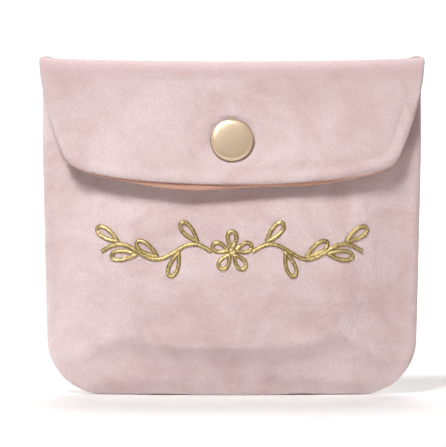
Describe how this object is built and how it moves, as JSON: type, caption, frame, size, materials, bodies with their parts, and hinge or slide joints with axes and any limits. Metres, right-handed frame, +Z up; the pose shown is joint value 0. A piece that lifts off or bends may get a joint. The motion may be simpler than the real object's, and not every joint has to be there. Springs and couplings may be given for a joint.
{
  "type": "snap-flap makeup pouch",
  "caption": "Small padded velvet pouch with a flap that folds over the mouth and closes with a round gold snap, with an embroidered sprig across the front.",
  "frame": {"origin": "middle of the base on the surface it stands on, centred on the bag's width and depth", "axes": "+X along the bag's width, +Y towards its back, +Z up to the fold; the front and its snap face -Y"},
  "size_m": [0.1344, 0.0288, 0.118],
  "materials": {
    "velvet": "short-pile crushed velvet, pale dusty pink",
    "padding": "needle-punched fleece wadding",
    "lining": "plain satin, peach",
    "sewing_thread": "polyester sewing thread",
    "interfacing": "stiff non-woven interfacing",
    "gold_thread": "metallic embroidery thread, pale gold",
    "gold_metal": "light gold plating, satin polished",
    "spring_steel": "plain steel wire"
  },
  "bodies": {
    "pouch": {"front_velvet": "velvet", "front_padding": "padding", "front_lining": "lining", "mouth_facing": "velvet", "back_velvet": "velvet", "back_padding": "padding", "back_lining": "lining", "seam_thread": "sewing_thread", "embroidery_backing": "interfacing", "front_motif": "gold_thread", "snap_stud": "gold_metal", "stud_rivet": "gold_metal", "stud_patch": "interfacing"},
    "fold": {"fold_velvet": "velvet", "fold_padding": "padding", "fold_lining": "lining"},
    "flap": {"flap_velvet": "velvet", "flap_padding": "padding", "flap_lining": "lining", "flap_edge_thread": "sewing_thread", "snap_cap": "gold_metal", "cap_eyelet": "gold_metal", "snap_socket": "gold_metal", "snap_spring": "spring_steel", "flap_patch": "interfacing"}
  },
  "joints": [
    {"name": "back_fold", "type": "hinge", "parent": "pouch", "child": "fold", "pos_m": [0, 0.00622, 0.11492], "axis": [-1, 0, 0], "range_deg": [0, 110]},
    {"name": "front_fold", "type": "hinge", "parent": "fold", "child": "flap", "pos_m": [0, -0.00622, 0.11492], "axis": [-1, 0, 0], "range_deg": [0, 110]}
  ],
  "couplings": [
    {"joint": "front_fold", "follows": "back_fold", "ratio": 1}
  ]
}
